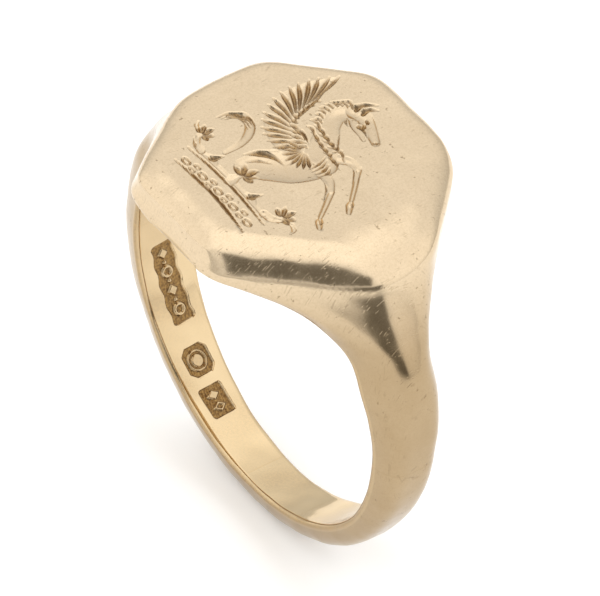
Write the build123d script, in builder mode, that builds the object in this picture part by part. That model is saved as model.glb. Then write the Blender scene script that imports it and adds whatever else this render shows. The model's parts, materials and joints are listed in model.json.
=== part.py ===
"""A gentleman's gold signet ring, brazed up from a head, two shank arms and a sizing insert.

Millimetres. The finger hole runs along Y, its centre is the origin, and the engraved table faces +Z.
The ring is widest in Y at the table and tapers down both shoulders to a narrow D-shaped back.
"""

import os
from math import cos, radians, sin

from build123d import *

os.makedirs("parts", exist_ok=True)

# The finger hole
bore_radius = 9.0
bore_edge_fillet = 0.25
bore_cut_length = 40.0

# The head and its shoulders. Each level is an oval: two straight sides along X, closed by half ellipses.
# (height above the finger axis, half length in X, half width in Y, half length of the straight sides)
table_height = 10.7
shoulder_levels = [
    (0.0, 10.6, 1.64, 8.9),
    (2.0, 10.6, 1.78, 8.7),
    (4.0, 10.25, 1.96, 8.0),
    (5.6, 9.75, 2.25, 7.0),
    (7.0, 9.0, 3.1, 5.6),
    (8.2, 8.25, 4.75, 3.6),
    (9.2, 7.9, 6.4, 2.2),
    (table_height, 7.8, 7.7, 1.6),
]

# The flat facets that trim the head to an eight-sided table.
# (direction in degrees from +X towards +Y, distance from the middle at the table, spread for each mm down)
table_sides = [
    (-90.0, 6.4, 0.1),
    (-40.0, 5.85, 0.44),
    (6.0, 6.9, 0.6),
    (44.0, 6.7, 0.22),
    (90.0, 6.8, 0.0),
    (137.0, 6.65, 0.22),
    (180.0, 6.3, 0.66),
    (-146.0, 6.25, 0.42),
]
rim_fillet = 0.8

# The shank: (angle round the finger from the table, outer radius, half width)
section_centre_radius = shoulder_levels[0][3]
shank_levels = [
    (90.0, shoulder_levels[0][1], shoulder_levels[0][2]),
    (110.0, 10.42, 1.5),
    (130.0, 10.35, 1.4),
    (155.0, 10.5, 1.31),
    (180.0, 10.68, 1.26),
]

# The brazed joints
solder_thickness = 0.08
insert_start_angle = 156.0
insert_end_angle = 182.0

# The three punched marks inside the left arm: (angle round the finger, length round it, width in Y)
mark_depth = 0.1
marks = [
    (246.0, 4.2, 1.15),
    (220.5, 1.5, 1.25),
    (207.5, 1.5, 1.1),
]


def radial_plane(angle):
    """The plane through the finger axis at this angle from the table; its X runs outwards, its Y along +Y."""
    outward = Vector(sin(radians(angle)), 0, cos(radians(angle)))
    return Plane(origin=(0, 0, 0), x_dir=outward, z_dir=outward.cross(Vector(0, 1, 0)))


def shank_section(angle, outer_radius, half_width):
    """One oval cross-section of the shank, which the finger hole then cuts to a D."""
    across = radial_plane(angle)
    centre = across.from_local_coords(Vector(section_centre_radius, 0, 0))
    with BuildSketch(Plane(centre, across.x_dir, across.z_dir)) as section:
        Ellipse(outer_radius - section_centre_radius, half_width)
    return section.sketch.face()


def shank_sections():
    """Sections from one side of the finger round the back to the other side."""
    left_half = [(360 - angle, *size) for angle, *size in reversed(shank_levels[:-1])]
    return [shank_section(*level) for level in shank_levels + left_half]


def head_section(height, half_length, half_width, half_straight):
    """One level of the head, an oval across both shoulders."""
    end_length = half_length - half_straight
    with BuildSketch(Plane.XY.offset(height)) as section:
        with BuildLine():
            Line((-half_straight, -half_width), (half_straight, -half_width))
            EllipticalCenterArc((half_straight, 0), end_length, half_width, start_angle=-90, arc_size=180)
            Line((half_straight, half_width), (-half_straight, half_width))
            EllipticalCenterArc((-half_straight, 0), end_length, half_width, start_angle=90, arc_size=180)
        make_face()
    return section.sketch.face()


def table_side(direction, distance, slope):
    """The plane of one facet of the head. Its normal points away from the metal."""
    outward = Vector(cos(radians(direction)), sin(radians(direction)), 0)
    return Plane(origin=outward * distance + Vector(0, 0, table_height), z_dir=outward + Vector(0, 0, slope))


def mark_pocket(angle, length, width):
    """A rectangular pocket sunk into the inside of the shank, its floor concentric with the finger hole."""
    middle = radial_plane(angle).from_local_coords(Vector(bore_radius, 0, 0))
    across = radial_plane(angle)
    with BuildPart() as pocket:
        Cylinder(bore_radius + mark_depth, width, rotation=(90, 0, 0))
        with BuildSketch(Plane(middle, across.x_dir, across.z_dir)):
            Rectangle(2 * length, width)
        extrude(amount=length / 2, both=True, mode=Mode.INTERSECT)
    return pocket.part


def cut_bore():
    """The finger hole, straight through along Y."""
    Cylinder(bore_radius, bore_cut_length, rotation=(90, 0, 0), mode=Mode.SUBTRACT)


def on_bore(edge):
    """Whether an edge runs round the mouth of the finger hole."""
    points = [Vector(p.X, 0, p.Z) for p in edge.positions([0.2, 0.5, 0.8])]
    return edge.length > bore_radius and all(abs(p.length - bore_radius) < bore_edge_fillet / 10 for p in points)


def keep_between(start_plane, end_plane):
    """Cut the ring back to the stretch that follows the start plane and comes before the end plane."""
    split(bisect_by=start_plane, keep=Keep.BOTTOM)
    split(bisect_by=end_plane, keep=Keep.TOP)


def finish(piece, name):
    """Label a finished piece and write it to its own file."""
    piece.part.label = name
    export_step(piece.part, f"parts/{name}.step")


# The faces of the brazed joints. A radial plane's normal points back towards the table on the right.
right_head_face = radial_plane(90)
right_arm_top = right_head_face.offset(-solder_thickness)
insert_start = radial_plane(insert_start_angle)
right_arm_end = insert_start.offset(solder_thickness)
insert_end = radial_plane(insert_end_angle)
left_arm_end = insert_end.offset(-solder_thickness)
left_head_face = radial_plane(270)
left_arm_top = left_head_face.offset(solder_thickness)

# The head with its two shoulders, flat on top and open below for the finger
with BuildPart() as signet_head:
    loft([head_section(*level) for level in shoulder_levels])
    for side in table_sides:
        split(bisect_by=table_side(*side), keep=Keep.BOTTOM)
    fillet(signet_head.faces().sort_by(Axis.Z)[-1].edges(), rim_fillet)
    cut_bore()
    fillet(signet_head.edges().filter_by(on_bore), bore_edge_fillet)
finish(signet_head, "signet_head")

# The shank before it is divided, a bar bent from one side of the finger round the back to the other
with BuildPart() as whole_shank:
    loft(shank_sections())
    cut_bore()
    fillet(whole_shank.edges().filter_by(on_bore), bore_edge_fillet)

# The right arm, from the head to the insert
with BuildPart() as right_shank_arm:
    add(whole_shank.part)
    keep_between(right_arm_top, right_arm_end)
finish(right_shank_arm, "right_shank_arm")

# The left arm, from the insert to the head, with the shallow pockets of its punched marks
with BuildPart() as left_shank_arm:
    add(whole_shank.part)
    keep_between(left_arm_end, left_arm_top)
    for angle, length, width in marks:
        add(mark_pocket(angle, length, width), mode=Mode.SUBTRACT)
finish(left_shank_arm, "left_shank_arm")

# The piece let in to make the ring larger
with BuildPart() as sizing_insert:
    add(whole_shank.part)
    keep_between(insert_start, insert_end)
finish(sizing_insert, "sizing_insert")

# The solder films. Those at the head lie in one plane, so each also takes its own side of the ring.
with BuildPart() as right_head_solder:
    add(whole_shank.part)
    split(bisect_by=right_arm_top, keep=Keep.TOP)
    split(bisect_by=Plane.YZ, keep=Keep.TOP)
finish(right_head_solder, "right_head_solder")

with BuildPart() as left_head_solder:
    add(whole_shank.part)
    split(bisect_by=left_arm_top, keep=Keep.BOTTOM)
    split(bisect_by=Plane.YZ, keep=Keep.BOTTOM)
finish(left_head_solder, "left_head_solder")

with BuildPart() as right_insert_solder:
    add(whole_shank.part)
    keep_between(right_arm_end, insert_start)
finish(right_insert_solder, "right_insert_solder")

with BuildPart() as left_insert_solder:
    add(whole_shank.part)
    keep_between(insert_end, left_arm_end)
finish(left_insert_solder, "left_insert_solder")
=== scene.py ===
"""Looks of the gold signet ring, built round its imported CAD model.

Ring measures below are in millimetres; meshes are written in metres. The finger hole runs along Y, its
centre is the origin, and the engraved table faces +Z. An angle is measured round the finger from the
table's middle towards +X.
"""

import json
from math import cos, pi, radians, sin

import bpy
import numpy as np
from mathutils import Matrix, Vector


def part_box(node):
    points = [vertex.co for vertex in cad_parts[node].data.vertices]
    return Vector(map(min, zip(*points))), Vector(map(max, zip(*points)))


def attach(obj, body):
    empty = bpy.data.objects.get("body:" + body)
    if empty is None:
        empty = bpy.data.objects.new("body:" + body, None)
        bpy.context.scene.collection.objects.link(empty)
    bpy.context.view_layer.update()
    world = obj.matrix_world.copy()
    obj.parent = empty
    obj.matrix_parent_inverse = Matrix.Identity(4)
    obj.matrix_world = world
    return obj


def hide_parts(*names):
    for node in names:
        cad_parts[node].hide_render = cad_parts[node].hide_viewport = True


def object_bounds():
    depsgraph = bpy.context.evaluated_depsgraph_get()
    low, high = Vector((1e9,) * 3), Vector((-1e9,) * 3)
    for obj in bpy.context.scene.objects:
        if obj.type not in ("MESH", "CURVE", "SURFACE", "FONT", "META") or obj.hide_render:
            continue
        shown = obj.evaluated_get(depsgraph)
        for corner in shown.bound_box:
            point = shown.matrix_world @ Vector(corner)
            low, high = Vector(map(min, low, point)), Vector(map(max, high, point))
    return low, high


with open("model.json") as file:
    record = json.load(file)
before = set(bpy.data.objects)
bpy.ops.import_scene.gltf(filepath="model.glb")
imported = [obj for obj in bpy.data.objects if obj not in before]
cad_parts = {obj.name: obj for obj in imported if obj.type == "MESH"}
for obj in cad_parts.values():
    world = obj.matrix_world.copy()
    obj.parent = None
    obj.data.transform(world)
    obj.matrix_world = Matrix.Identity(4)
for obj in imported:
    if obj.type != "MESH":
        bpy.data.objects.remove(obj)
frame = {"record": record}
cad_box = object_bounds()

MM = 0.001
mounts = {mount["name"]: mount for mount in frame["record"]["mounts"]}

# --------------------------------------------------------------------------------------- the ring's form

bore_radius = mounts["finger_bore"]["dims"]["r_mm"]
table_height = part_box("signet_head")[1].z / MM
bore_edge_round = 0.28
neutral_radius = 10.8  # where distances round the finger are measured

# The rim of the table is a soft octagon. Each side: (direction in degrees from +X towards +Y, distance of
# the rim, width and depth of the worn roll-off from the flat table, its roundness from 1 for a chamfer's
# crisp lower edge to 2 for none, how fast the wall below swells, how fast it flares away into the body)
rim_sides = [
    (-90.0, 6.4, 1.3, 0.5, 1.0, 0.05, 0.22),
    (-40.0, 6.36, 1.75, 1.28, 1.0, 0.38, 0.05),
    (6.0, 7.5, 2.95, 1.15, 1.1, 0.5, 0.05),
    (44.0, 6.98, 1.8, 0.9, 1.5, 0.0, 0.09),
    (90.0, 6.8, 0.8, 0.4, 1.6, 0.0, 0.0),
    (137.0, 6.7, 0.6, 0.35, 1.6, 0.05, 0.12),
    (180.0, 6.56, 0.6, 0.35, 1.6, 0.4, 0.11),
    (-146.0, 6.5, 0.8, 0.4, 1.4, 0.1, 0.2),
]
rim_sharpness = 24.0

# The body under the rim, from the top of the neck down the shoulders and round to the back of the shank:
# (height, reach towards +X, reach towards -X, half width in Y, squareness). Below the finger axis the
# height is the distance travelled round the finger, and the reach is the shank's outer radius.
quarter_turn = neutral_radius * pi / 2
levels = [
    (table_height, 9.5, 9.5, 14.0, 2.6),
    (9.8, 8.5, 8.3, 9.6, 2.6),
    (9.2, 8.15, 8.0, 7.8, 1.95),
    (8.5, 8.5, 8.2, 6.05, 1.85),
    (7.2, 9.2, 8.9, 4.0, 2.05),
    (5.4, 9.95, 9.8, 2.7, 2.3),
    (3.6, 10.35, 10.4, 2.27, 3.4),
    (1.8, 10.5, 10.65, 2.05, 4.2),
    (0.0, 10.45, 10.75, 1.95, 4.2),
    (-quarter_turn / 3, 10.25, 10.65, 1.8, 4.0),
    (-quarter_turn * 2 / 3, 10.42, 10.62, 1.68, 3.6),
    (-quarter_turn, 10.7, 10.7, 1.64, 3.2),
]

# Where each piece begins and ends, round the finger
right_joint = 90.0
left_joint = 270.0
solder_turn = 0.47
insert_start = 156.0
insert_end = 182.0

# The rows of a cross-section divide its top separately from its flanks, at this share of its half width
top_share = 0.93


def smooth_line(points, steps):
    """A Catmull-Rom curve through the points, as an array with this many steps from point to point."""
    p = np.array(points, float)
    p = np.vstack([2 * p[0] - p[1], p, 2 * p[-1] - p[-2]])
    t = np.linspace(0, 1, steps, endpoint=False)[:, None]
    spans = [
        0.5 * (2 * b + (c - a) * t + (2 * a - 5 * b + 4 * c - d) * t**2 + (3 * b - a - 3 * c + d) * t**3)
        for a, b, c, d in zip(p, p[1:], p[2:], p[3:])
    ]
    return np.vstack(spans + [p[-2:-1]])


steps_per_level = 30
level_table = smooth_line(levels, steps_per_level)[::-1]


def form_at(height):
    """What limits the metal at these heights: the body's columns of the levels, and each side's distance."""
    body = [np.interp(height, level_table[:, 0], column) for column in level_table.T[1:]]
    depth = table_height - np.asarray(height)
    distances = []
    for _, rim, roll, roll_depth, roundness, swell, flare in rim_sides:
        rolled = np.sqrt(1 - np.clip(1 - depth / roll_depth, 0, 1) ** roundness)
        below = np.maximum(depth - roll_depth, 0)
        distances.append(rim - roll * (1 - rolled) + swell * below + flare * below**2)
    return body, distances


def fill(x, y, form):
    """Below 1 inside the metal's outline."""
    (right_reach, left_reach, half_width, power), distances = form
    reach = np.where(x > 0, right_reach, left_reach)
    within = (np.abs(x) / reach) ** power + (np.abs(y) / half_width) ** power
    total = within ** (rim_sharpness / power)
    for (direction, *_), distance in zip(rim_sides, distances):
        towards = x * cos(radians(direction)) + y * sin(radians(direction))
        total = total + (np.maximum(towards, 0) / distance) ** rim_sharpness
    return total


def level_place(angle, radius):
    """Where a point at this angle and radius lies in the levels: (distance along X, height)."""
    turn = np.radians((angle + 180) % 360 - 180)
    above = np.abs(turn) <= pi / 2
    along = np.where(above, radius * np.sin(turn), radius * np.sign(turn))
    height = np.where(above, radius * np.cos(turn), (pi / 2 - np.abs(turn)) * neutral_radius)
    return along, height


def halve(low, high, is_inside, rounds=26):
    """The edge of a region between low, inside it, and high, by halving."""
    for _ in range(rounds):
        middle = (low + high) / 2
        inside = is_inside(middle)
        low, high = np.where(inside, middle, low), np.where(inside, high, middle)
    return (low + high) / 2


def outer_radius(angle):
    """How far the metal reaches from the finger axis in the middle plane."""
    widest = 2 * bore_radius

    def is_inside(radius):
        along, height = level_place(angle, radius)
        return (height <= table_height) & (fill(along, 0.0, form_at(height)) < 1)

    return float(halve(np.array(bore_radius), np.array(widest), is_inside))


def half_widths(angle, radius, side):
    """How far the metal reaches towards +Y or -Y, by the sign of side, at these radii."""
    along, height = level_place(angle, radius)
    form = form_at(height)
    return halve(0 * radius, form[0][2], lambda across: fill(along, side * across, form) < 1)


def spread(*stretches):
    """Fractions from 0 to the last stretch's end: each stretch is (its end, its number of steps)."""
    parts, start = [np.array([0.0])], 0.0
    for end, steps in stretches:
        parts.append(np.linspace(start, end, steps + 1)[1:])
        start = end
    return np.concatenate(parts)


def half_section(angle, side, bore_rows, edge_rows, flank_rows, top_rows):
    """(radius, y) round half a cross-section, from the middle of the bore to the middle of the top."""
    samples, crowding = 500, 2.5
    towards_top = 1 - (1 - np.linspace(0, 1, samples)) ** crowding
    radius = bore_radius + (outer_radius(angle) - bore_radius) * towards_top
    width = half_widths(angle, radius, side)
    run = np.concatenate([[0], np.cumsum(np.hypot(np.diff(radius), np.diff(width)))])
    edge = bore_edge_round

    bore = np.stack([0 * bore_rows + bore_radius, bore_rows * (width[0] - edge)], 1)

    flank_start = np.array([np.interp(edge, run, radius), np.interp(edge, run, width)])
    u = np.linspace(0, 1, edge_rows + 1)[1:, None]
    corner = np.array([bore_radius, width[0]])
    rounded = (1 - u) ** 2 * bore[-1] + 2 * u * (1 - u) * corner + u**2 * flank_start

    widest = int(np.argmax(width))
    top_width = top_share * width[widest]
    upper_width, upper_radius = width[widest:][::-1], radius[widest:][::-1]
    split_radius = np.interp(top_width, upper_width, upper_radius)
    split_run = np.interp(split_radius, radius, run)
    along_flank = edge + (split_run - edge) * np.linspace(0, 1, flank_rows + 1)[1:]
    flank = np.stack([np.interp(along_flank, run, radius), np.interp(along_flank, run, width)], 1)

    top_y = top_width * top_rows[::-1][1:]
    top = np.stack([np.interp(top_y, upper_width, upper_radius), top_y], 1)
    return np.vstack([bore, rounded, flank, top]) * (1, side)


def section_loop(angle, plus_rows, minus_rows):
    """A whole cross-section: the +Y half from the bore to the top, then the -Y half back to the bore."""
    plus = half_section(angle, 1, **plus_rows)
    minus = half_section(angle, -1, **minus_rows)
    return np.vstack([plus, minus[-2:0:-1]])


def swept_grid(angles, plus_rows, minus_rows):
    """Points of the ring's surface: one row for each angle, each a closed loop round the metal."""
    grid = []
    for angle in angles:
        loop = section_loop(angle, plus_rows, minus_rows)
        turn = radians(angle)
        grid.append(np.stack([loop[:, 0] * sin(turn), loop[:, 1], loop[:, 0] * cos(turn)], 1))
    return np.array(grid)


def grid_normals(grid):
    """Outward normals of a swept grid."""
    along = np.gradient(grid, axis=0)
    around = np.roll(grid, -1, axis=1) - np.roll(grid, 1, axis=1)
    normal = np.cross(around, along)
    return normal / (np.linalg.norm(normal, axis=2, keepdims=True) + 1e-12)


def axis_distance(grid):
    """How far each point of a grid lies from the finger axis."""
    return np.hypot(grid[..., 0], grid[..., 2])


def hand_worn(grid):
    """Soft dents and flats that years of wear leave, the same wherever two pieces meet."""
    rng = np.random.default_rng(7)
    waves_each = 7
    depth = np.zeros(grid.shape[:2])
    for wavelength, amount in ((6.0, 0.006), (3.2, 0.004), (1.7, 0.002), (0.9, 0.001)):
        for _ in range(waves_each):
            direction = rng.normal(size=3)
            direction *= 2 * pi / wavelength / np.linalg.norm(direction)
            depth += amount * np.sin(grid @ direction + rng.uniform(0, 2 * pi))
    outside = np.clip((axis_distance(grid) - bore_radius) / 0.4, 0, 1)
    return grid + grid_normals(grid) * (depth * (1.5 - 0.5 * outside))[..., None]


# -------------------------------------------------------------------------- engraving and punched marks


class Carving:
    """Depths cut into a surface at scattered points (x, y), as a graver or a punch leaves them."""

    def __init__(self, x, y):
        self.x, self.y = x, y
        self.hollow = np.zeros_like(x)
        self.groove = np.zeros_like(x)

    def cut(self, layer, points, half_widths, depth, roundness):
        """Sweep a round tool along the points. It cuts deepest where it is widest."""
        path = smooth_line(points, 8) if len(points) > 2 else np.linspace(points[0], points[1], 9)
        stops = np.linspace(0, len(path) - 1, len(half_widths))
        widths = np.interp(np.arange(len(path)), stops, half_widths)
        widest = max(half_widths)
        for a, b, start_width, end_width in zip(path, path[1:], widths, widths[1:]):
            near = np.flatnonzero(
                (self.x > min(a[0], b[0]) - widest)
                & (self.x < max(a[0], b[0]) + widest)
                & (self.y > min(a[1], b[1]) - widest)
                & (self.y < max(a[1], b[1]) + widest)
            )
            if len(near) == 0:
                continue
            dx, dy = self.x[near] - a[0], self.y[near] - a[1]
            step = b - a
            t = np.clip((dx * step[0] + dy * step[1]) / max(step @ step, 1e-9), 0, 1)
            width = start_width + (end_width - start_width) * t
            away = np.hypot(dx - t * step[0], dy - t * step[1]) / np.maximum(width, 1e-6)
            bite = depth * (width / widest) ** 0.7 * np.clip(1 - away**2, 0, 1) ** roundness
            layer[near] = np.maximum(layer[near], bite)

    def scoop(self, points, half_widths, depth):
        """A broad rounded hollow, such as a body."""
        self.cut(self.hollow, points, half_widths, depth, 0.55)

    def line(self, points, half_widths, depth):
        """A narrow graver's line."""
        self.cut(self.groove, points, half_widths, depth, 1.0)

    def ring(self, centre, radii, half_width, depth):
        """A small engraved oval."""
        turns = np.linspace(0, 2 * pi, 9)
        points = [(centre[0] + radii[0] * cos(t), centre[1] + radii[1] * sin(t)) for t in turns]
        self.line(points, [half_width], depth)

    def depth(self):
        """The cut surface's depth: hollows with the lines worked into their floors."""
        return self.hollow + self.groove * np.where(self.hollow > 0.02, 0.75, 1.0)


def leaf(carving, centre, heading, size):
    """A five-lobed coronet leaf."""
    for turn, share in ((-84, 0.8), (-44, 0.92), (0, 1.0), (44, 0.92), (84, 0.8)):
        way = radians(heading + turn)
        out = np.array([cos(way), sin(way)])
        start = np.array(centre) + 0.12 * size * out
        tip = np.array(centre) + share * size * out
        carving.line([start, tip], [0.04, 0.24 * size, 0.2 * size, 0.02], 0.2)


def coronet(carving):
    """A jewelled circlet with three leaves and two points, from which the beast rises."""
    carving.line([(-3.15, -4.45), (-0.6, -4.28), (2.25, -4.55)], [0.04, 0.11, 0.125, 0.11, 0.04], 0.22)
    carving.line([(-3.5, -3.48), (-0.6, -3.3), (2.4, -3.52)], [0.04, 0.085, 0.095, 0.085, 0.04], 0.19)
    carving.scoop([(-3.4, -3.2), (-0.6, -3.06), (2.3, -3.24)], [0.05, 0.12, 0.12, 0.12, 0.05], 0.07)
    stone_count, stone_gap = 5, 1.17
    for k in range(stone_count):
        x = -2.8 + stone_gap * k
        y = -3.98 - 0.018 * (x + 0.5) ** 2
        carving.ring((x, y), (0.24, 0.13), 0.07, 0.12)
        if k < stone_count - 1:
            carving.ring((x + stone_gap / 2, y + 0.2), (0.17, 0.08), 0.06, 0.11)
            carving.ring((x + stone_gap / 2, y - 0.11), (0.17, 0.075), 0.06, 0.11)
    for side, foot in ((-1, (-3.0, -3.1)), (1, (1.8, -3.12))):
        curl = [foot, (foot[0] + side * 0.5, -2.98), (foot[0] + side * 0.85, -2.62)]
        carving.scoop(curl, [0.2, 0.18, 0.12], 0.14)
        carving.line([(foot[0] + side * 0.3, -3.14), (foot[0] + side * 0.85, -2.9)], [0.02, 0.06, 0.02], 0.12)
    carving.scoop([(3.05, -2.45), (3.35, -2.55), (3.5, -2.85)], [0.1, 0.13, 0.05], 0.12)
    carving.scoop([(-4.1, -2.35), (-4.45, -2.3), (-4.6, -2.1)], [0.1, 0.12, 0.05], 0.12)
    carving.scoop([(-0.75, -3.1), (-0.75, -2.75), (-0.75, -2.5)], [0.34, 0.16, 0.14], 0.13)
    for point_x in (-2.25, 0.68):
        base = [(point_x - 0.5, -3.1), (point_x, -2.95), (point_x + 0.45, -3.1)]
        spike = [(point_x - 0.12, -2.98), (point_x, -2.8), (point_x + 0.14, -2.42)]
        carving.scoop(base, [0.08, 0.17, 0.08], 0.1)
        carving.line(spike, [0.15, 0.14, 0.02], 0.2)
    leaf(carving, (-0.75, -2.42), 90, 0.86)
    leaf(carving, (-3.88, -2.45), 84, 0.66)
    leaf(carving, (2.42, -2.55), 84, 0.74)


def beast_body(carving):
    """The winged horse's body, neck and head, cut as rounded hollows."""
    carving.scoop(
        [(-1.0, -2.0), (-0.65, -1.2), (0.0, -0.35), (0.4, 0.45), (0.45, 1.1)],
        [0.62, 0.95, 1.05, 0.95, 0.72],
        0.24,
    )
    carving.scoop(
        [(0.1, 1.2), (-0.5, 2.0), (-1.15, 2.7), (-1.5, 3.4), (-1.4, 4.0)],
        [0.74, 0.66, 0.52, 0.46, 0.42],
        0.22,
    )
    carving.scoop([(-1.35, 4.2), (-0.7, 4.34), (0.1, 4.12), (0.85, 3.84)], [0.42, 0.42, 0.32, 0.22], 0.25)
    carving.scoop([(-0.95, 3.95), (-0.55, 3.72), (-0.05, 3.62), (0.4, 3.5)], [0.3, 0.24, 0.17, 0.1], 0.2)
    carving.scoop([(0.55, 1.6), (0.95, 1.1), (0.95, 0.62)], [0.36, 0.44, 0.36], 0.26)
    for ear in ([(-1.5, 4.5), (-1.36, 4.9), (-1.02, 5.4)], [(-1.12, 4.62), (-1.0, 4.92), (-0.72, 5.22)]):
        carving.line(ear, [0.14, 0.13, 0.02], 0.19)
    carving.line([(-0.5, 3.95), (-0.18, 3.92), (0.35, 3.74)], [0.16, 0.13, 0.03], 0.24)
    carving.line([(-0.55, 4.28), (-0.42, 4.1), (-0.5, 3.86)], [0.05, 0.13, 0.06], 0.2)
    carving.line([(0.85, 3.95), (0.72, 3.9)], [0.04, 0.08], 0.16)
    carving.line([(-0.72, 4.5), (-0.55, 4.44)], [0.06, 0.09], 0.18)
    carving.line([(-1.3, 3.8), (-1.0, 3.52), (-0.7, 3.42)], [0.02, 0.08, 0.02], 0.13)
    carving.line([(-0.4, -0.35), (-1.0, -0.5), (-1.5, -1.0), (-1.75, -1.65)], [0.02, 0.11, 0.13, 0.02], 0.2)
    carving.line([(-0.75, -0.75), (-1.2, -1.2), (-1.4, -1.75)], [0.02, 0.07, 0.02], 0.13)
    for shift in (0.0, 0.22, 0.44, 0.66):
        start, end = (0.22 + shift, 1.5 - shift * 0.3), (0.42 + shift, 0.42 + shift * 0.1)
        carving.line([start, (start[0] + 0.2, 0.98), end], [0.02, 0.085, 0.02], 0.17)
    carving.line([(-0.5, 2.75), (-0.05, 2.35), (0.5, 2.05)], [0.02, 0.05, 0.02], 0.08)


def beast_legs(carving):
    """Two raised forelegs."""
    carving.scoop([(0.75, 1.75), (1.25, 2.12), (1.8, 2.16)], [0.3, 0.24, 0.15], 0.2)
    carving.scoop([(1.8, 2.16), (2.5, 1.5), (3.18, 0.8)], [0.17, 0.13, 0.12], 0.18)
    carving.scoop([(3.24, 0.72), (3.46, 0.48), (3.8, 0.18)], [0.1, 0.19, 0.13], 0.18)
    carving.scoop([(1.0, 0.72), (1.7, 0.62), (2.3, 0.28)], [0.36, 0.24, 0.17], 0.22)
    carving.scoop([(2.3, 0.28), (2.8, -0.35), (3.3, -1.02)], [0.17, 0.14, 0.12], 0.18)
    carving.scoop([(3.36, -1.1), (3.54, -1.28), (3.86, -1.5)], [0.1, 0.19, 0.13], 0.18)
    carving.line([(1.35, 0.5), (2.0, 0.26), (2.6, -0.35)], [0.02, 0.07, 0.02], 0.12)
    carving.line([(1.2, 1.98), (1.75, 1.98), (2.4, 1.4)], [0.02, 0.06, 0.02], 0.11)
    carving.line([(3.3, 0.72), (3.5, 0.62)], [0.04, 0.06], 0.12)
    carving.line([(3.4, -1.12), (3.6, -1.2)], [0.04, 0.06], 0.12)


def beast_tail(carving):
    """A tail curling up from behind the coronet, with a brushed end."""
    carving.scoop(
        [(-2.3, -2.3), (-2.35, -1.5), (-2.65, -0.75), (-3.2, -0.25), (-3.8, -0.25), (-4.2, -0.75)],
        [0.1, 0.17, 0.24, 0.25, 0.26, 0.08],
        0.18,
    )
    for lift in (-0.14, 0.0, 0.14):
        carving.line(
            [(-3.1, -0.25 + lift), (-3.65, -0.2 + lift), (-4.12 - lift, -0.62), (-4.2 - lift, -1.15 - lift)],
            [0.02, 0.07, 0.07, 0.02],
            0.15,
        )


def beast_mane(carving):
    """Locks of mane down the back of the neck."""
    crest_line = smooth_line([(-1.65, 4.4), (-2.0, 3.8), (-1.95, 3.05), (-1.45, 2.4)], 3)
    for k, root in enumerate(crest_line[:-1]):
        drop = 0.18 + 0.06 * (k % 3)
        tip = root + (-0.48 + 0.03 * k, -drop)
        carving.line([root, (root + tip) / 2 + (-0.05, 0.08), tip], [0.08, 0.1, 0.02], 0.15)


def beast_wing(carving):
    """A raised wing: long flight feathers, a row of coverts, and small feathers over the shoulder."""
    carving.scoop(
        [(-3.5, 4.7), (-3.5, 3.4), (-3.3, 2.1), (-2.6, 1.0), (-1.6, 0.5), (-0.7, 0.5)],
        [0.1, 0.48, 0.66, 0.74, 0.66, 0.5],
        0.12,
    )
    fineness = 20
    tips = smooth_line(
        [(-3.5, 5.0), (-4.0, 4.0), (-4.18, 2.8), (-3.98, 1.6), (-3.35, 0.55), (-2.45, -0.12), (-1.4, -0.25)],
        fineness,
    )
    roots = smooth_line(
        [(-2.95, 3.1), (-2.85, 2.6), (-2.75, 2.05), (-2.55, 1.6), (-2.1, 1.2), (-1.6, 0.9), (-1.05, 0.62)],
        fineness,
    )
    feather_count = 15
    for k in range(feather_count):
        share = k / (feather_count - 1)
        tip, root = (row[int(share * (len(row) - 1))] for row in (tips, roots))
        middle = (tip + root) / 2 + (-0.02, 0.1)
        carving.line([root, middle, tip], [0.06, 0.105, 0.13, 0.12, 0.03], 0.18)
    covert_count = 11
    starts = smooth_line([(-2.65, 3.3), (-2.5, 2.3), (-2.1, 1.6), (-1.2, 1.3), (-0.65, 1.1)], fineness)
    for k in range(covert_count):
        share = k / (covert_count - 1)
        start = starts[int(share * (len(starts) - 1))]
        root = roots[int(share * (len(roots) - 1))]
        carving.line([start, (start + root) / 2, root + (root - start) * 0.1], [0.06, 0.12, 0.03], 0.16)
    carving.line([(-3.35, 4.35), (-2.85, 3.2), (-2.5, 2.1), (-2.35, 1.55)], [0.02, 0.1, 0.12, 0.04], 0.2)
    carving.line([(-1.95, 1.3), (-1.45, 1.42), (-0.85, 1.3)], [0.04, 0.13, 0.04], 0.24)
    for k in range(9):
        way = radians(200 + 17 * k)
        out = np.array([cos(way), sin(way)])
        start = np.array([-0.55, 0.95]) + 0.24 * out
        carving.line([start, start + 0.86 * out], [0.04, 0.105, 0.11, 0.02], 0.17)
    for k in range(6):
        start = np.array([-1.95 + 0.42 * k, 2.2 - 0.05 * k])
        carving.line([start, start + (0.32, 0.2), start + (0.8, 0.08)], [0.03, 0.12, 0.03], 0.18)
    for k in range(6):
        start = np.array([-1.7 + 0.4 * k, 1.84 - 0.05 * k])
        carving.line([start, start + (0.3, 0.12), start + (0.78, -0.04)], [0.03, 0.1, 0.03], 0.16)


def crest_cut(x, y):
    """(depth, stain) of the crest engraved in the table, at these points of it."""
    carving = Carving(x, y)
    coronet(carving)
    beast_body(carving)
    beast_legs(carving)
    beast_tail(carving)
    beast_mane(carving)
    beast_wing(carving)
    in_grooves = np.clip(carving.groove / 0.14, 0, 1) ** 1.2
    in_hollows = np.clip(carving.hollow / 0.25, 0, 1)
    return carving.depth(), in_grooves * 0.85 + in_hollows * 0.15


def step_in(distance, softness):
    """0 outside, 1 inside, over a soft edge, of a signed distance that is negative inside."""
    t = np.clip(0.5 - distance / softness, 0, 1)
    return t * t * (3 - 2 * t)


def rounded_box(u, v, half_u, half_v, corner):
    """Signed distance to a rectangle with rounded corners."""
    du, dv = np.abs(u) - half_u + corner, np.abs(v) - half_v + corner
    outside = np.hypot(np.maximum(du, 0), np.maximum(dv, 0))
    return outside + np.minimum(np.maximum(du, dv), 0) - corner


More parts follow.
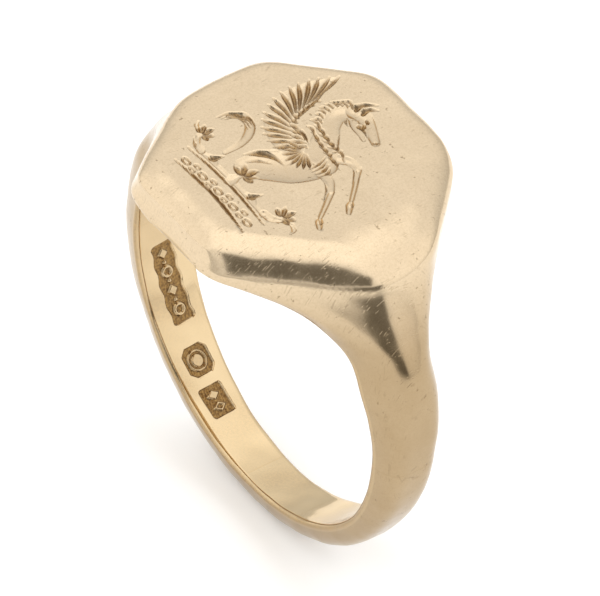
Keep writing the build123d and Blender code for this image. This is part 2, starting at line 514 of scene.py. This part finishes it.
def tilted(u, v, centre, tilt):
    """Coordinates about a centre, turned by a tilt in degrees."""
    t = radians(tilt)
    du, dv = u - centre[0], v - centre[1]
    return du * cos(t) + dv * sin(t), dv * cos(t) - du * sin(t)


mark_depth = 0.11
mark_edge = 0.08
# Middle of each punched mark: (angle round the finger, y, tilt in degrees)
long_mark = (246.0, -0.02, -6.0)
round_mark = (220.5, 0.04, -4.0)
square_mark = (207.5, -0.02, -3.0)


def mark_cut(angle, y):
    """(depth, stain) of the three punched marks inside the left arm."""
    along = np.radians(angle) * bore_radius
    depth, stain = np.zeros_like(along), np.zeros_like(along)

    def about(mark):
        """Coordinates about the middle of a mark: along its length, and across it."""
        turn, middle_y, tilt = mark
        return tilted(along, y, (radians(turn) * bore_radius, middle_y), tilt)

    def punch(outline, raised, height):
        """Sink an outline, all but the raised shape in it, and stain its floor."""
        nonlocal depth, stain
        sunk = step_in(outline, mark_edge)
        lifted = step_in(raised, mark_edge) * height
        depth = np.maximum(depth, mark_depth * sunk * (1 - lifted))
        stain = np.maximum(stain, step_in(outline, 0.05) * (1 - 0.75 * lifted))

    u, v = about(long_mark)
    scallop = 0.04 * np.cos(u * 2 * pi / 1.05)
    outline = rounded_box(u, v, 2.12, 0.56 + scallop, 0.2)
    beads = np.full_like(u, np.inf)
    for middle in (-1.5, 0.5):
        beads = np.minimum(beads, np.abs(np.hypot(u - middle, v) - 0.24) - 0.075)
    for middle in (-0.5, 1.5):
        beads = np.minimum(beads, np.abs(u - middle) * 0.8 + np.abs(v) * 0.9 - 0.24)
    for middle in (-1.0, 0.0, 1.0):
        beads = np.minimum(beads, np.hypot(u - middle, v) - 0.09)
    punch(outline, beads, 0.9)

    u, v = about(round_mark)
    outline = np.maximum(rounded_box(u, v, 0.72, 0.66, 0.12), (np.abs(u) + np.abs(v)) * cos(pi / 4) - 0.78)
    dome = np.minimum(np.hypot(u, v) - 0.3, np.abs(np.hypot(u, v) - 0.46) - 0.05)
    punch(outline, dome, 0.8)

    u, v = about(square_mark)
    outline = rounded_box(u, v, 0.76, 0.6, 0.14)
    lozenges = np.minimum(
        np.abs(u - 0.3) * 1.1 + np.abs(v) * 0.75 - 0.26,
        np.abs(np.abs(u + 0.3) * 1.1 + np.abs(v) * 0.75 - 0.2) - 0.07,
    )
    punch(outline, lozenges, 0.9)
    ripple = np.sin(along * 23 + 3 * np.sin(y * 9)) * np.sin(y * 27 + 2 * np.sin(along * 11))
    return depth * (1 + 0.1 * ripple), stain


# ------------------------------------------------------------------------------------------------ meshes


def write_mesh(name, grid, marks):
    """A closed mesh of a swept grid, with its two end faces flat, and a value at each point for each mark."""
    rows, around = grid.shape[:2]
    index = np.arange(rows * around).reshape(rows, around)
    beside = np.roll(index, -1, axis=1)
    quads = np.stack([index[:-1], beside[:-1], beside[1:], index[1:]], 2).reshape(-1, 4)
    faces = quads.tolist() + [index[0][::-1].tolist(), index[-1].tolist()]
    mesh = bpy.data.meshes.new(name)
    mesh.from_pydata((grid.reshape(-1, 3) * MM).tolist(), [], faces)
    smooth = np.ones(len(faces), bool)
    smooth[-2:] = False
    mesh.polygons.foreach_set("use_smooth", smooth)
    ends = np.zeros(2 * len(mesh.edges), int)
    mesh.edges.foreach_get("vertices", ends)
    edge_rows = ends.reshape(-1, 2) // around
    on_rim = (edge_rows[:, 0] == edge_rows[:, 1]) & np.isin(edge_rows[:, 0], (0, rows - 1))
    mesh.edges.foreach_set("use_edge_sharp", on_rim)
    for mark, values in marks.items():
        attribute = mesh.attributes.new(mark, "FLOAT", "POINT")
        attribute.data.foreach_set("value", values.astype(np.float32).ravel())
    mesh.update()
    piece = bpy.data.objects.new(name, mesh)
    bpy.context.scene.collection.objects.link(piece)
    return piece


def surface_marks(grid, stain):
    """What the material reads at each point: stain with a painted dark reflection on the bore's edges, polish
    that also paints the bore brighter, and a top lighter by wear and painted light.
    """
    from_bore = axis_distance(grid) - bore_radius
    polish_and_bore_light = 1 - np.clip((from_bore - 0.12) / 0.25, 0, 1)
    # Lighter towards the top of the ring: partly rubbed wear, partly painted light on the table and
    # shoulders.
    wear_and_top_light = np.clip((grid[..., 2] - 6.5) / 3.0, 0, 1)
    # A painted dark reflection along the rounded edges of the bore, added to the stain.
    painted_edge_reflection = np.clip(1.2 - np.abs(from_bore - 0.13) / 0.15, 0, 1)
    return {"stain": np.maximum(stain, 0.6 * painted_edge_reflection), "polish_and_bore_light": polish_and_bore_light, "wear_and_top_light": wear_and_top_light}


def even_rows(bore=12, edge=5, flank=16, top=20):
    """Rows for half a plain cross-section."""
    return {
        "bore_rows": np.linspace(0, 1, bore + 1),
        "edge_rows": edge,
        "flank_rows": flank,
        "top_rows": np.linspace(0, 1, top + 1),
    }


crest_left, crest_right = -5.15, 4.0
crest_foot, crest_top = 4.8, 5.8
table_half_width = 7.0


def table_rows(crest_reach, step):
    """Rows for half a cross-section of the head, close together as far out as the crest reaches."""
    crest_stretch = (crest_reach / (top_share * table_half_width), int(crest_reach / step))
    return {**even_rows(bore=14, flank=26), "top_rows": spread(crest_stretch, (1.0, 10))}


def head_angles(fine_step, coarse_step):
    """Angles across the head, close together under the crest."""
    start, end = (np.degrees(np.arctan2(x, table_height)) for x in (crest_left, crest_right))
    fine = np.degrees(np.arctan2(np.arange(crest_left, crest_right, fine_step), table_height))
    before = np.linspace(-90, start, int((start + 90) / coarse_step))[:-1]
    after = np.linspace(end, 90, int((90 - end) / coarse_step))
    return np.concatenate([before, fine[:-1], after])


def make_head(name):
    """The head with its shoulders and the crest cut into the table."""
    fine_step, coarse_step = 0.042, 0.9
    plus_rows, minus_rows = table_rows(crest_top, fine_step), table_rows(crest_foot, fine_step)
    grid = hand_worn(swept_grid(head_angles(fine_step, coarse_step), plus_rows, minus_rows))
    x, y, z = grid[..., 0], grid[..., 1], grid[..., 2]
    on_top = (z > table_height - 1.2) & (grid_normals(grid)[..., 2] > 0.3)
    depth, stain = np.zeros(x.shape), np.zeros(x.shape)
    depth[on_top], stain[on_top] = crest_cut(x[on_top], y[on_top])
    grid[..., 2] -= depth
    return write_mesh(name, grid, surface_marks(grid, stain))


def make_band(name, start, end, step=0.9):
    """A plain stretch of the shank."""
    count = max(2, int(round((end - start) / step)) + 1)
    rows = even_rows()
    grid = hand_worn(swept_grid(np.linspace(start, end, count), rows, rows))
    return write_mesh(name, grid, surface_marks(grid, np.zeros(grid.shape[:2])))


def make_marked_arm(name, start, end):
    """The left arm, with the punched marks on its inside."""
    first, last = 201.5, 260.5
    plain_step, fine_step = 1.0, 0.24
    before = np.arange(start, first, plain_step)
    marked = np.arange(first, last, fine_step)
    after = np.linspace(last, end, int((end - last) / plain_step) + 2)
    rows = even_rows(bore=36, flank=14, top=14)
    grid = hand_worn(swept_grid(np.concatenate([before, marked, after]), rows, rows))
    from_axis = axis_distance(grid)
    inside = from_axis < bore_radius + 0.03
    angle = np.degrees(np.arctan2(grid[..., 0], grid[..., 2])) % 360
    depth, stain = np.zeros(angle.shape), np.zeros(angle.shape)
    depth[inside], stain[inside] = mark_cut(angle[inside], grid[..., 1][inside])
    scale = (from_axis + depth) / from_axis
    grid[..., 0] *= scale
    grid[..., 2] *= scale
    marks = surface_marks(grid, stain)
    # The whole inside of the arm is fully polished, which also paints it brighter.
    marks["polish_and_bore_light"] = np.where(inside, 1.0, marks["polish_and_bore_light"])
    return write_mesh(name, grid, marks)


# --------------------------------------------------------------------------------------------- materials


class Nodes:
    """Short ways to add and link shader nodes."""

    def __init__(self, tree):
        self.tree = tree

    def add(self, kind, outputs=0, settings=None, **inputs):
        """A node with these inputs, each a socket or a value, given by name with _ for a space."""
        node = self.tree.nodes.new("ShaderNode" + kind)
        for key, value in (settings or {}).items():
            setattr(node, key, value)
        for key, value in inputs.items():
            numbered = key[0] == "i" and key[1:].isdigit()
            self.feed(node.inputs[int(key[1:]) if numbered else key.replace("_", " ")], value)
        return node.outputs[outputs]

    def feed(self, socket, value):
        """Link a socket to an input, or set it to a value."""
        if isinstance(value, bpy.types.NodeSocket):
            self.tree.links.new(value, socket)
        else:
            socket.default_value = value

    def math(self, operation, a, b=0.0, clamp=False):
        """One step of arithmetic."""
        return self.add("Math", settings={"operation": operation, "use_clamp": clamp}, i0=a, i1=b)

    def vector(self, operation, outputs=0, **inputs):
        """One step of vector arithmetic. A single number comes from output 1."""
        return self.add("VectorMath", outputs, {"operation": operation}, **inputs)

    def ramp(self, value, low, high, to_low=0.0, to_high=1.0):
        """A value carried smoothly from one range to another, and held at its ends."""
        span = {"From_Min": low, "From_Max": high, "To_Min": to_low, "To_Max": to_high}
        return self.add("MapRange", settings={"interpolation_type": "SMOOTHSTEP"}, Value=value, **span)

    def stripe(self, value, middle, inner, outer):
        """1 within the inner distance of a middle value, 0 beyond the outer one."""
        return self.ramp(self.math("ABSOLUTE", self.math("SUBTRACT", value, middle)), inner, outer, 1.0, 0.0)

    def mix(self, share, a, b):
        """A colour between two colours."""
        return self.add("Mix", 2, {"data_type": "RGBA"}, i0=share, i6=a, i7=b)


def tinted(colour, red, green, blue):
    """A colour with each of its channels scaled."""
    return (colour[0] * red, colour[1] * green, colour[2] * blue, 1)


def gold(name, bright, dull):
    """Worn yellow gold: satin and finely scratched outside, polished in the bore, brown in its recesses.
    Painted light makes its top and its bore brighter, and a painted dark reflection runs along the bore's
    edges.
    """
    material = bpy.data.materials.new(name)
    material.use_nodes = True
    tree = material.node_tree
    tree.nodes.clear()
    n = Nodes(tree)
    place = n.vector("SCALE", i0=n.add("TexCoord", outputs=3), Scale=1 / MM)
    marks = ("stain", "polish_and_bore_light", "wear_and_top_light")
    stain, polish_and_bore_light, wear_and_top_light = (n.add("Attribute", 2, {"attribute_name": mark}) for mark in marks)

    cloud = n.add("TexNoise", Vector=place, Scale=0.55, Detail=5.0, Roughness=0.6)
    speckle = n.add("TexNoise", Vector=place, Scale=9.0, Detail=3.0, Roughness=0.6)
    scratches = 0.0
    for turn, stretch in (
        ((0.3, 0.2, 0.5), 0.05),
        ((1.1, 0.7, 2.1), 0.07),
        ((2.0, 0.4, 1.2), 0.04),
        ((0.8, 2.2, 2.7), 0.06),
        ((2.6, 1.2, 0.1), 0.05),
        ((0.2, 0.9, 1.6), 0.06),
    ):
        turned = n.add("Mapping", Vector=place, Rotation=turn, Scale=(1.0, stretch, stretch))
        fine = n.add("TexNoise", Vector=turned, Scale=3.0, Detail=1.0, Roughness=0.4)
        thin = n.stripe(fine, 0.5, 0.0, 0.014)
        shifted = n.vector("ADD", i0=place, i1=turn)
        patch = n.ramp(n.add("TexNoise", Vector=shifted, Scale=1.9, Detail=1.0), 0.59, 0.68)
        scratches = n.math("MAXIMUM", scratches, n.math("MULTIPLY", thin, patch))
    pits = n.ramp(n.add("TexNoise", Vector=place, Scale=3.4, Detail=2.0, Roughness=0.55), 0.69, 0.73)

    # Random clouds vary the tone. The top is made lighter by wear and painted light.
    brightness = n.math("ADD", n.math("MULTIPLY", cloud, 0.3), n.math("MULTIPLY", wear_and_top_light, 0.8), clamp=True)
    tone = n.mix(brightness, (*dull, 1), (*bright, 1))
    fleck = n.ramp(speckle, 0.35, 0.75, 0.0, 0.16)
    tone = n.mix(fleck, tone, tinted(dull, 0.8, 0.74, 0.62))
    worn_line = n.math("MULTIPLY", scratches, n.ramp(polish_and_bore_light, 0.0, 1.0, 0.2, 0.08))
    worn_line = n.math("MAXIMUM", worn_line, n.math("MULTIPLY", pits, 0.5))
    tone = n.mix(worn_line, tone, tinted(dull, 0.5, 0.45, 0.35))
    # Brighter and yellower in the bore: a painted reflection of the light and the interreflection there, over
    # its real polish.
    tone = n.mix(n.math("MULTIPLY", polish_and_bore_light, 0.9), tone, tinted(bright, 1.04, 1.01, 0.9))
    grime = n.mix(n.ramp(speckle, 0.3, 0.7), (0.1, 0.043, 0.009, 1), (0.31, 0.175, 0.05, 1))
    # Brown grime in the engraving and the punched marks, and a painted dark reflection along the bore's
    # edges.
    tone = n.mix(n.math("MULTIPLY", stain, 0.9), tone, grime)

    satin = n.math("ADD", n.ramp(cloud, 0.3, 0.7, 0.13, 0.19), n.math("MULTIPLY", scratches, 0.10))
    shiny = n.math("ADD", n.ramp(cloud, 0.3, 0.7, 0.07, 0.11), n.math("MULTIPLY", scratches, 0.05))
    roughness = n.add("Mix", outputs=0, Factor=polish_and_bore_light, i2=satin, i3=shiny)
    roughness = n.math("ADD", roughness, n.math("MULTIPLY", stain, 0.22))

    relief = n.math("ADD", n.math("MULTIPLY", scratches, -0.5), n.math("MULTIPLY", pits, -1.0))
    relief = n.math("ADD", relief, n.math("MULTIPLY", speckle, 0.07))
    relief = n.math("MULTIPLY", relief, n.ramp(polish_and_bore_light, 0.0, 1.0, 1.0, 0.16))
    bump = n.add("Bump", Height=relief, Strength=0.3, Distance=0.02 * MM)
    surface = n.add("BsdfPrincipled", Base_Color=tone, Metallic=1.0, Roughness=roughness, Normal=bump)
    tree.links.new(surface, tree.nodes.new("ShaderNodeOutputMaterial").inputs["Surface"])
    return material


# The bright tone is painted on as light at the top and in the bore. The dull one is the rest of the gold.
bright_gold = (0.69, 0.55, 0.375)
dull_gold = (0.375, 0.27, 0.152)
head_gold = gold("head_gold", bright_gold, dull_gold)
shank_gold = gold("shank_gold", bright_gold, dull_gold)
insert_gold = gold("insert_gold", (0.7, 0.565, 0.39), (0.385, 0.28, 0.16))
gold_solder = gold("gold_solder", (0.68, 0.535, 0.355), (0.36, 0.258, 0.142))

# ------------------------------------------------------------------------------------------------ pieces

head = make_head("ring_head")
right_arm = make_band("ring_right_arm", right_joint + solder_turn, insert_start - solder_turn)
insert = make_band("ring_insert", insert_start, insert_end)
left_arm = make_marked_arm("ring_left_arm", insert_end + solder_turn, left_joint - solder_turn)
pieces = [
    (head, "signet_head", head_gold, "head_gold"),
    (right_arm, "right_shank_arm", shank_gold, "shank_gold"),
    (insert, "sizing_insert", insert_gold, "insert_gold"),
    (left_arm, "left_shank_arm", shank_gold, "shank_gold"),
]
for name, node, start in (
    ("right_head_film", "right_head_solder", right_joint),
    ("left_head_film", "left_head_solder", left_joint - solder_turn),
    ("right_insert_film", "right_insert_solder", insert_start - solder_turn),
    ("left_insert_film", "left_insert_solder", insert_end),
):
    film = make_band(name, start, start + solder_turn, solder_turn)
    pieces.append((film, node, gold_solder, "gold_solder"))

for piece, node, material, slot in pieces:
    piece.data.materials.append(material)
    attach(piece, "root")
    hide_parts(node)

# ------------------------------------------------------------------------------- floor, light and camera


def make_floor():
    """A plain pale floor under the ring."""
    half = 1.5
    corners = [(x * half, y * half, cad_box[0].z) for x, y in ((-1, -1), (1, -1), (1, 1), (-1, 1))]
    mesh = bpy.data.meshes.new("floor")
    mesh.from_pydata(corners, [], [(0, 1, 2, 3)])
    floor = bpy.data.objects.new("floor", mesh)
    bpy.context.scene.collection.objects.link(floor)
    material = bpy.data.materials.new("floor_white")
    material.use_nodes = True
    shader = material.node_tree.nodes["Principled BSDF"]
    shader.inputs["Base Color"].default_value = (0.97, 0.97, 0.97, 1)
    shader.inputs["Roughness"].default_value = 0.9
    shader.inputs["Specular IOR Level"].default_value = 0.0
    shader.inputs["Emission Color"].default_value = (1, 1, 1, 1)
    shader.inputs["Emission Strength"].default_value = 0.14
    mesh.materials.append(material)


def view_axes(azimuth, elevation, roll):
    """Right, up and back directions of a camera at these angles; azimuth 0 looks along +Y."""
    a, e, r = radians(azimuth), radians(elevation), radians(roll)
    back = Vector((sin(a) * cos(e), -cos(a) * cos(e), sin(e)))
    level_right = Vector((cos(a), sin(a), 0))
    level_up = back.cross(level_right)
    right = level_right * cos(r) + level_up * sin(r)
    return right, back.cross(right), back


view_azimuth, view_elevation, view_roll = 50.3, 44.8, 5.1
view_right, view_up, view_back = view_axes(view_azimuth, view_elevation, view_roll)
view_level, _, view_front = view_axes(view_azimuth, 0.0, 0.0)


def make_camera():
    """A long lens at three-quarter height, looking down on the table and into the finger hole."""
    view_width, distance, film_width = 27.26 * MM, 0.8, 36.0
    aim_right, aim_up = 0.86 * MM, 1.52 * MM
    camera = bpy.data.objects.new("camera", bpy.data.cameras.new("camera"))
    bpy.context.scene.collection.objects.link(camera)
    middle = view_right * aim_right + view_up * aim_up
    turn = Matrix((view_right, view_up, view_back)).transposed().to_4x4()
    camera.matrix_world = Matrix.Translation(middle + view_back * distance) @ turn
    camera.data.sensor_width = film_width
    camera.data.lens = film_width * distance / view_width
    camera.data.clip_start, camera.data.clip_end = 0.1 * distance, 5 * distance
    bpy.context.scene.camera = camera


def make_light():
    """A white tent: soft all round, brighter at two sides, with a dark gap where the view is taken.

    The near facet of the rim reflects the gap's upper part, and the right shoulder's ridge its wider foot.
    """
    world = bpy.data.worlds.new("white_tent")
    bpy.context.scene.world = world
    world.use_nodes = True
    tree = world.node_tree
    tree.nodes.clear()
    n = Nodes(tree)
    way = n.vector("NORMALIZE", i0=n.add("TexCoord", outputs=0))
    across = n.vector("DOT_PRODUCT", 1, i0=way, i1=view_level)
    towards = n.vector("DOT_PRODUCT", 1, i0=way, i1=view_front)
    height = n.add("SeparateXYZ", outputs=2, Vector=way)

    def lobe(direction, inner, outer):
        """1 within the inner angle of a direction, 0 beyond the outer one."""
        facing = n.vector("DOT_PRODUCT", 1, i0=way, i1=Vector(direction).normalized())
        return n.ramp(facing, cos(radians(outer)), cos(radians(inner)))

    def opening(middle, inner, outer, bottom, top):
        """1 in an opening this far across the view, between two stretches of elevation where it fades."""
        bottom, top = ([sin(radians(angle)) for angle in fade] for fade in (bottom, top))
        tall = n.math("MULTIPLY", n.ramp(height, *top, 1.0, 0.0), n.ramp(height, *bottom))
        return n.math("MULTIPLY", n.stripe(across, middle, inner, outer), tall)

    gap = opening(0.06, 0.26, 0.32, (20, 26), (48, 52))
    foot = opening(0.36, 0.26, 0.36, (1, 4), (15, 21))
    gap = n.math("MULTIPLY", n.math("MAXIMUM", gap, foot), n.ramp(towards, 0.1, 0.2))

    low_tent, high_tent, roof = (0.8, 0.8, 0.79, 1), (1.2, 1.2, 1.2, 1), (1.6, 1.6, 1.59, 1)
    panel, dark = (1.4, 1.39, 1.37, 1), (0.2, 0.19, 0.17, 1)
    colour = n.mix(n.ramp(height, 0.0, 0.7), low_tent, high_tent)
    colour = n.mix(n.ramp(height, 0.74, 0.92), colour, roof)
    colour = n.mix(lobe((0.71, 0.45, 0.54), 14, 45), colour, panel)
    colour = n.mix(lobe((-0.54, -0.71, 0.45), 12, 42), colour, panel)
    colour = n.mix(gap, colour, dark)
    shade = n.add("Background", Color=colour, Strength=1.0)
    tree.links.new(shade, tree.nodes.new("ShaderNodeOutputWorld").inputs["Surface"])


make_floor()
make_camera()
make_light()
bpy.context.scene.view_settings.view_transform = "Standard"
